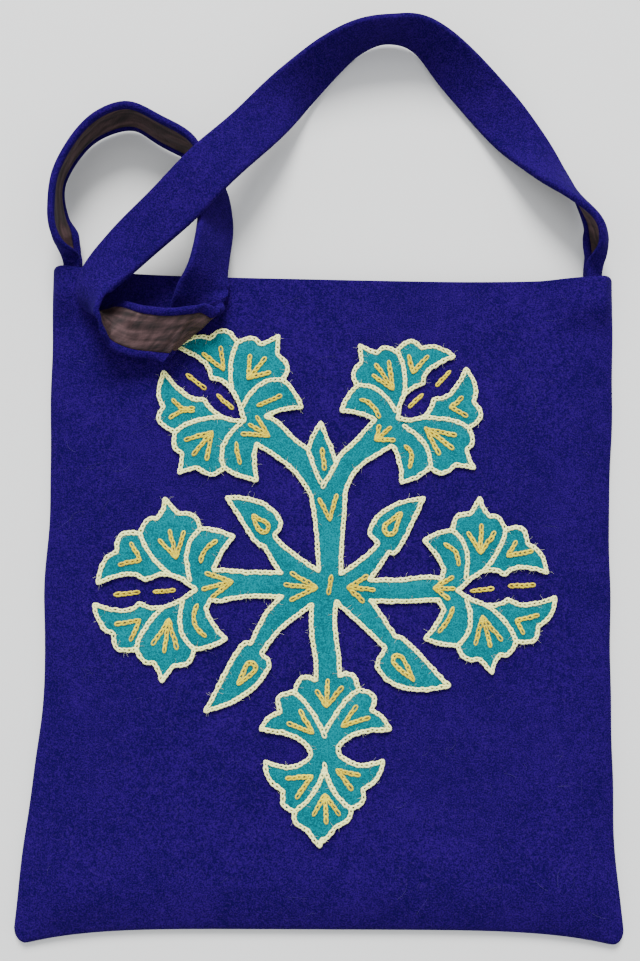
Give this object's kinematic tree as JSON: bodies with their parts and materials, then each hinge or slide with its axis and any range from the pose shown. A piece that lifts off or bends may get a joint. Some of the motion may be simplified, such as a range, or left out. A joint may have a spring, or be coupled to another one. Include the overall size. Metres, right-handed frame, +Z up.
{
  "type": "felt shoulder bag",
  "caption": "Flat shoulder bag of thick wool felt, open at the top, with a long lined felt strap and a stitched felt flower ornament on its front.",
  "frame": {"origin": "middle of the back panel's underside, on the surface the bag lies on", "axes": "+X across the bag to its right, +Y towards the mouth and the strap, +Z up out of the front panel"},
  "size_m": [0.3345, 0.5323, 0.0412],
  "materials": {
    "felt_violet": "fuzzy wool felt, matt",
    "felt_turquoise": "thin wool felt, matt",
    "cotton_brown": "plain woven cotton, faintly glossy"
  },
  "bodies": {
    "root": {"back_panel": "felt_violet", "front_panel": "felt_violet", "applique": "felt_turquoise", "strap": "felt_violet", "strap_lining": "cotton_brown"}
  },
  "joints": []
}
